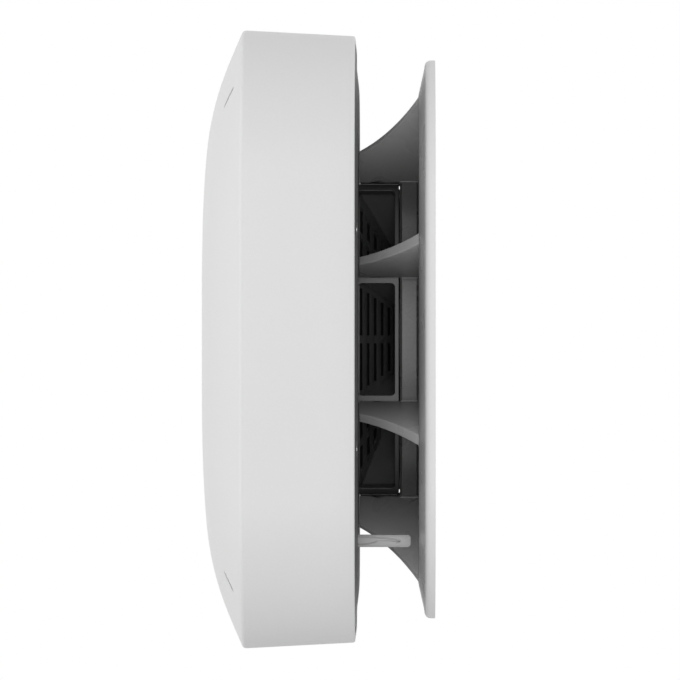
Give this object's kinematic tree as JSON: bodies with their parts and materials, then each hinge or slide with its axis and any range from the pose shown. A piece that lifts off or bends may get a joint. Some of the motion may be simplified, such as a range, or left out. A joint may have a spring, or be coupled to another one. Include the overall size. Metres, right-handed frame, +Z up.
{
  "type": "mesh wifi node",
  "caption": "Wall-mounted wireless network node: a square domed head on a vented octagonal column, standing off a wall plate on flared arms.",
  "frame": {"origin": "centre of the wall plate's back face, which is the centre of its four screw holes", "axes": "+Z up, +Y into the wall, -Y out of the wall towards the domed front, +X to the right as seen from the front"},
  "size_m": [0.201, 0.0768, 0.201],
  "materials": {
    "white_shell": "fine satin texture, white",
    "rear_cover": "fine satin texture, mid grey",
    "plate_plastic": "fine satin texture, white",
    "arm_plastic": "satin light grey",
    "lock_plastic": "plain moulded grey",
    "black_plastic": "fine texture, near black",
    "screen_mesh": "fine black mesh",
    "lever_plastic": "satin grey",
    "light_pipe": "smoky translucent light guide",
    "screw_steel": "zinc plated",
    "gold_contact": "gold plated",
    "nickel": "nickel plated sheet",
    "antenna_metal": "tinned stamped brass",
    "circuit_board": "green solder mask",
    "chip": "moulded black",
    "key_plastic": "satin grey",
    "led": "clear yellow-white package",
    "heat_sink": "extruded, plain",
    "thermal_pad": "soft blue pad"
  },
  "bodies": {
    "stand": {"base_plate": "plate_plastic", "arm_spider": "arm_plastic", "spider_screws": "screw_steel", "lock_ring": "lock_plastic", "lock_ring_screws": "screw_steel"},
    "head": {"antenna_1": "antenna_metal", "antenna_2": "antenna_metal", "antenna_3": "antenna_metal", "antenna_4": "antenna_metal", "antenna_5": "antenna_metal", "antenna_6": "antenna_metal", "antenna_7": "antenna_metal", "antenna_8": "antenna_metal", "antenna_carrier": "black_plastic", "board_header": "black_plastic", "board_screws": "screw_steel", "corner_leds": "led", "dc_jack": "black_plastic", "dc_pin": "nickel", "dust_screen": "screen_mesh", "front_shell": "white_shell", "heat_sink": "heat_sink", "heat_sink_screws": "screw_steel", "key_board": "circuit_board", "lan_contacts": "gold_contact", "lan_jack": "black_plastic", "lever_pin": "screw_steel", "lever_spring": "screw_steel", "light_pipes": "light_pipe", "main_board": "circuit_board", "memory_can": "nickel", "neck_frame": "black_plastic", "neck_screws": "screw_steel", "port_bay": "black_plastic", "port_board": "circuit_board", "processor": "chip", "radio_can_left": "nickel", "radio_can_right": "nickel", "rear_cover": "rear_cover", "rear_cover_screws": "screw_steel", "reset_switch": "chip", "sync_switch": "chip", "thermal_pad": "thermal_pad", "vent_dome": "black_plastic"},
    "lever": {"release_lever": "lever_plastic"},
    "sync_key": {"sync_button": "key_plastic", "sync_plunger": "key_plastic"},
    "reset_key": {"reset_button": "key_plastic", "reset_plunger": "key_plastic"}
  },
  "joints": [
    {"name": "head_twist", "type": "hinge", "parent": "stand", "child": "head", "pos_m": [0, 0, 0], "axis": [0, -1, 0], "range_deg": [0, 18]},
    {"name": "release_lever", "type": "hinge", "parent": "head", "child": "lever", "pos_m": [0.06515, -0.03, -0.06515], "axis": [0, 0, 1], "range_deg": [0, 6], "stiffness_Nm_per_rad": 0.06, "springref_deg": -4.58},
    {"name": "sync_press", "type": "slide", "parent": "head", "child": "sync_key", "axis": [0, 0, 1], "range_m": [0, 0.0007], "stiffness_N_per_m": 500, "springref_m": -0.0008},
    {"name": "reset_press", "type": "slide", "parent": "head", "child": "reset_key", "axis": [0, 0, 1], "range_m": [0, 0.0007], "stiffness_N_per_m": 500, "springref_m": -0.0008}
  ]
}
